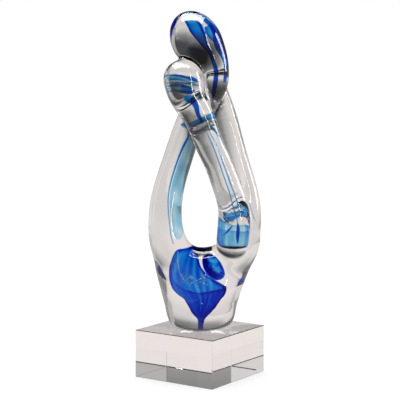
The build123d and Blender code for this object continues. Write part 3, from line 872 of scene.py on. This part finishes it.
# %% Striped band in the small head
band_rows = ((-22.3, -10.4, 254.2, 0.8), (-20, -12.6, 255, 1.5), (-16.5, -14, 255, 1.8),
             (-13, -14.2, 254.2, 1.8), (-9.7, -13.4, 253.2, 2.3), (-6.6, -11.8, 252, 1.4))
band = band_mesh(*edges_of(band_rows), 0.7, 1.2, seed=12, length=70, width=33, depth=0.5, fold=1.3)
upper_stripe = ((-24.4, -9.6, 255.8, 0.25), (-18, -11.6, 256.4, 0.5), (-11, -11.8, 254.4, 0.6),
                (-5.4, -10.2, 250.8, 0.4))
lower_stripe = ((-25, -10.2, 251.6, 0.25), (-18, -12, 251.9, 0.5), (-11, -12.2, 250.6, 0.6),
                (-5.6, -11, 248.6, 0.4))
stripes = cane_mesh((upper_stripe, lower_stripe), points=50)
glass_piece("small_head_band", joined((band, stripes)), "lower_head_band")
print("striped band faces", len(band.polygons))

# %% Folds in the small head
heap_rows = ((-23.4, -10.6, 246.5, 1.8), (-19.8, -12.9, 248.2, 3), (-16.6, -14, 247.8, 3.3),
             (-13.5, -14.6, 246.6, 3.2), (-10.8, -14.6, 245.3, 3), (-7.8, -14, 243, 1.6))
heap = band_mesh(*edges_of(heap_rows), 0.7, 1.0, seed=21, length=90, width=45, depth=1.2, fold=1.9)
blob_rows = ((-13, -14, 240.4, 0.8), (-10.8, -14.2, 239.4, 2.6), (-8, -14.2, 237, 2.8), (-6, -14, 234.6, 1))
blob = band_mesh(*edges_of(blob_rows), 0.6, 0.9, seed=31, length=50, width=21, depth=0.5, fold=0.8)
left_rim_rows = ((-26.4, -12.6, 249.6, 0.5), (-27, -13.2, 245.6, 0.8), (-26.6, -13.6, 241.6, 0.9),
                 (-25, -14, 237.6, 0.5))
left_rim = band_mesh(*edges_of(left_rim_rows), 0.8, 1.1, seed=35, length=50, width=13, depth=0.1)
small_rim_rows = ((-4.4, -14, 243.6, 0.5), (-3.2, -14.2, 240, 0.9), (-1.8, -14.2, 235.6, 0.5))
small_rim = band_mesh(*edges_of(small_rim_rows), 0.5, 0.8, seed=37, length=40, width=13, depth=0.2)
glass_piece("small_head_folds", joined((heap, blob, left_rim, small_rim)), "lower_head_swirl")
print("folded faces", sum(len(mesh.polygons) for mesh in (heap, blob, left_rim, small_rim)))

# %% [markdown]
# The streak in the top of the front rod is one short, strong sheet. The veil in the left
# limb is the palest blue of all, a fifth of a millimetre thin, and only its edge is strong.
# Near the top of that limb a fold of it crosses behind the front rod.

# %% Sheets in the rods
streak_edges = edges_of(np.column_stack([streak_rows[:, :3], np.maximum(streak_rows[:, 3] * 0.9, 0.5)]))
streak_piece = band_mesh(*streak_edges, 1.7, 1.5, seed=41, length=60, width=15, depth=0.0, fold=0.2)
glass_piece("front_streak", streak_piece, "front_limb_streak")
veil_left, veil_right = edges_of(np.column_stack([left_veil_rows[:, :3], left_veil_rows[:, 3] * 0.95]))
left_veil = band_mesh(veil_left, veil_right, 0.17, 0.3, seed=44, length=160, width=25, depth=0.5, fold=0.7)
crossing_rows = ((-14, 8, 214, 1.2), (-8, 5, 216.4, 2.6), (-2, 4, 218.6, 3), (3, 5, 221, 1.4))
crossing = band_mesh(*edges_of(crossing_rows), 0.5, 0.8, seed=47, length=60, width=21, depth=0.6, fold=0.8)
glass_piece("left_veil", joined((left_veil, crossing)), "left_limb_veil")
print("veil reach", left_veil_rows[0].round(1), left_veil_rows[-1].round(1))

# %% [markdown]
# Three pieces are small open vessels: the tulip with its slanted rim in the body, the
# petal above its right rim and the cup in the foot of the front rod. Each is blown
# colour, about a millimetre thin, over a clear core. A vessel is a profile of elliptical
# rings, but its rim has its own height at each angle, and the wall has ripples that run
# from foot to rim, as in glass that was drawn upward. A lathe can't do that, so the rings
# are placed one by one.

# %% Vessel builder
bead_height, pool_height = 1.6, 16.0
slow_ripple, fine_ripple = (0.6, 0.16), (0.5, 0.45)
thinnest_share, thickest_share = 0.35, 2.2
smallest_reach = 0.15
outer_spacing, inner_spacing = 1.15, 1.4
lip_start, lip_rings = 0.5, 4


def by_angle(table, angles):
    """Values at angles in degrees from a table of angle and value that closes on itself."""
    rows = sorted(table)
    places = [rows[-1][0] - 360] + [row[0] for row in rows] + [rows[0][0] + 360]
    values = [rows[-1][1]] + [row[1] for row in rows] + [rows[0][1]]
    stations = np.arange(-12, 372, 4)
    eased = np.convolve(np.interp(stations % 360, places, values), np.ones(5) / 5, mode="same")
    return np.interp(angles, stations, eased)


def vessel_mesh(rings, rim, wall, floor, seed, ripple=0.5, bead=0.9, pool=0.0, around=120, up=50, placing=None):
    """A thin vessel: rings are height, centre x, centre y, half width and half depth in mm.

    The wall gets thicker by the share bead at the rim, and by the share pool low down.
    """
    rings = np.array(rings, dtype=float)
    angles = np.linspace(0, 360, around, endpoint=False)
    cosine, sine = np.cos(np.radians(angles)), np.sin(np.radians(angles))
    rim_height = by_angle(rim, angles)
    wall_here = by_angle(wall, angles)
    profile = smooth_rows(rings, 200)

    def ring_at(height, inset):
        column = [np.interp(height, profile[:, 0], profile[:, axis]) for axis in range(1, 5)]
        wide, deep = np.maximum(column[2] - inset, smallest_reach), np.maximum(column[3] - inset, smallest_reach)
        return np.stack([column[0] + wide * cosine, column[1] + deep * sine, height], axis=1)

    zeros = 0 * angles
    ripples = 1 + ripple * (slow_ripple[0] * folds(angles * slow_ripple[1], zeros, seed)
                            + fine_ripple[0] * folds(angles * fine_ripple[1], zeros, seed + 2))
    thickness = wall_here * np.clip(ripples, thinnest_share, thickest_share)
    foot = rings[0, 0]
    outer = [ring_at(foot + (rim_height - foot) * share, 0.0) for share in np.linspace(0, 1, up) ** outer_spacing]
    lip = [ring_at(rim_height + thickness * (0.45 + bead / 4) * math.sin(turn),
                   thickness * (1 + bead) * (1 - math.cos(turn)) / 2)
           for turn in np.linspace(lip_start, math.pi - lip_start, lip_rings)]
    reach = rim_height - floor
    inner = [ring_at(rim_height - reach * share,
                     thickness * (1 + 0.3 * folds(angles * 0.3, share * 9 + zeros, seed + 4) * min(share * 9, 1)
                                  + bead * np.exp(-(reach * share / bead_height) ** 2)
                                  + pool * np.exp(-(reach * (1 - share) / pool_height) ** 2)))
             for share in np.linspace(0.004, 1, up) ** inner_spacing]
    grid = np.array(outer + lip + inner)
    if placing is not None:
        grid = grid @ np.array(placing.to_3x3()).T + np.array(placing.translation)
    return closed_loft(grid)


print("vessel builder ready")

# %% Tulip in the body
drop_rings = ((42.4, 0.2, 0, 0.9, 0.9), (45, 0.1, 0, 1.1, 1.1), (50.5, 0.8, 0, 2.3, 2.1),
              (54.3, 0.7, 0, 4.9, 4.2), (60, 1.4, 0, 8.4, 6.4), (66.6, 1.6, 0, 12.2, 8.8),
              (70, 1, 0, 15.5, 10.6), (75, -0.2, 0, 18.8, 12.4), (81, -1.5, 0, 20.4, 13.4),
              (87.4, -2.1, 0, 21, 13.8), (98.6, -3.6, 0.3, 19.4, 13), (107, -5, 0.8, 17, 11.6),
              (110, -5.4, 1, 16.2, 11))
drop_rim = ((0, 76.3), (30, 77.2), (60, 79.5), (75, 84), (90, 94), (105, 99.5), (125, 102), (150, 104.5),
            (170, 106.5), (180, 103), (192, 90), (210, 80.6), (235, 75.2), (268, 72.6), (310, 74.8),
            (340, 75.8))
drop_wall = ((0, 0.7), (50, 0.9), (90, 1.5), (130, 0.9), (160, 0.5), (185, 0.3), (215, 0.3), (250, 0.5),
             (270, 0.6), (320, 0.7))
drop_mesh = vessel_mesh(drop_rings, drop_rim, drop_wall, floor=47.5, seed=52, ripple=0.55, bead=1.5, pool=0.9,
                        around=160, up=70)
glass_piece("tulip", drop_mesh, "core_drop")
print("tulip faces", len(drop_mesh.polygons))

# %% Petal above the tulip's rim
petal_rings = ((0, 0, 0, 0.6, 0.6), (1, 0.4, 0, 3.4, 2.2), (3, 0.4, 0, 7.2, 4.6), (5.5, 0.2, 0, 10.4, 6.6),
               (7.5, 0, 0, 12.2, 7.8), (9, 0, 0, 12.8, 8.2))
petal_rim = ((0, 8.4), (60, 7), (120, 7.6), (180, 6.4), (240, 7.8), (300, 7))
petal_wall = ((0, 1.8), (60, 2.6), (120, 2.6), (180, 2.2), (235, 1.6), (270, 0.6), (310, 0.9))
long_axis = Vector((-0.52, -0.10, 0.84)).normalized()
open_axis = Vector((0.12, -0.95, 0.02)).normalized()
side_axis = open_axis.cross(long_axis).normalized()
open_axis = long_axis.cross(side_axis).normalized()
petal_placing = Matrix((long_axis, side_axis, open_axis)).transposed().to_4x4()
petal_placing.translation = Vector((9.6, -1.5, 94.2))
petal_mesh = vessel_mesh(petal_rings, petal_rim, petal_wall, floor=1.3, seed=61, ripple=0.6, around=96,
                         up=30, placing=petal_placing)
glass_piece("petal", petal_mesh, "core_petal")
print("petal faces", len(petal_mesh.polygons))

# %% Cup in the foot of the front rod
cup_rings = ((112.8, 27.8, -14, 0.8, 0.8), (113.2, 27.8, -14, 5, 5), (114.6, 27.9, -14, 8, 7.8),
             (118, 28, -14, 9.3, 9), (126, 28.1, -14.1, 9.6, 9.2), (136, 27.8, -14.3, 9.4, 9),
             (141, 27.2, -14.5, 9.2, 8.8))
cup_rim = ((0, 131), (60, 126), (120, 127), (150, 133), (180, 139), (210, 136.5), (270, 132.6), (330, 132.8))
cup_wall = ((0, 0.3), (90, 0.14), (180, 0.32), (270, 0.12))
cup_mesh = vessel_mesh(cup_rings, cup_rim, cup_wall, floor=114.8, seed=71, ripple=0.8, around=96, up=36)
long_streak = ((30.6, -14.5, 133.6, 0.4), (30.8, -14.5, 129, 0.9), (30.4, -14.6, 122, 0.9),
               (30.3, -14.5, 117.4, 0.5))
short_streak = ((27.4, -15, 131.6, 0.3), (25, -16, 127.6, 0.7), (21.8, -15.5, 123.2, 0.3))
cup_streak = cane_mesh((long_streak, short_streak), points=40)
glass_piece("cup", joined((cup_mesh, cup_streak)), "front_limb_cup")
print("cup faces", len(cup_mesh.polygons))

# %% [markdown]
# Small seeds of air are left in all hand-made glass, and here they sparkle in the tulip. They
# all look alike and lie at random, so a second Geometry Nodes tree scatters them: its inputs
# are the corners of a box, the count, the sizes and the seed. A thin line of trapped air
# runs down in front of the tulip, and it is drawn by the cane tree.


# %% Geometry Nodes tree: seeds of air
def air_seeds_tree():
    """A tree that scatters small spheres in a box."""
    tree, inside = tree_with_inputs("air_seeds", (
        ("Count", "Int", 8), ("Low Corner", "Vector", (0, 0, 0)), ("High Corner", "Vector", (0, 0, 0)),
        ("Smallest", "Float", 0.0003), ("Largest", "Float", 0.0006), ("Seed", "Int", 1)))
    where = node_out(tree, "FunctionNodeRandomValue", data_type="FLOAT_VECTOR", in_0=inside["Low Corner"],
                     in_1=inside["High Corner"], Seed=inside["Seed"])
    size = add_node(tree, "FunctionNodeRandomValue", data_type="FLOAT", in_2=inside["Smallest"],
                    in_3=inside["Largest"], Seed=inside["Seed"]).outputs[1]
    points = node_out(tree, "GeometryNodePoints", Count=inside["Count"], Position=where)
    ball = node_out(tree, "GeometryNodeMeshUVSphere", Radius=1.0, Segments=20, Rings=12)
    spread = node_out(tree, "GeometryNodeInstanceOnPoints", Points=points, Instance=ball, Scale=size)
    return ended_tree(tree, spread, inside["Material"])


air_seeds = air_seeds_tree()
print("air seeds sockets", len(air_seeds.interface.items_tree))


# %% Air in the tulip and the large head
def seeds_mesh(count, low, high, smallest, largest, seed):
    """Seeds of air in a box given in mm."""
    low_corner, high_corner = ([value * mm for value in corner] for corner in (low, high))
    return made_by(air_seeds, bpy.data.meshes.new("seeds"), count=count, low_corner=low_corner,
                   high_corner=high_corner, smallest=smallest * mm, largest=largest * mm, seed=seed,
                   material=air_in_glass)


air_line = ((-19.2, -11, 108, 0.15), (-18.2, -11.6, 98, 0.3), (-15.2, -12, 88.4, 0.35), (-9.6, -12.4, 79.6, 0.15))
air_meshes = (seeds_mesh(22, (-8, -7, 77), (7, 3, 86), 0.5, 1.2, 4),
              seeds_mesh(12, (-15, -7, 80), (-8, 0, 89), 0.4, 0.8, 9),
              seeds_mesh(2, (-17, -2, 288), (-12, 2, 291), 0.3, 0.5, 2),
              seeds_mesh(3, (-3, -15, 64), (8, -13, 69), 0.25, 0.4, 7),
              cane_mesh([air_line], air_in_glass, points=60))
glass_piece("air_seeds", joined(air_meshes), material=air_in_glass, slot="clear_glass")
print("air faces", sum(len(mesh.polygons) for mesh in air_meshes))
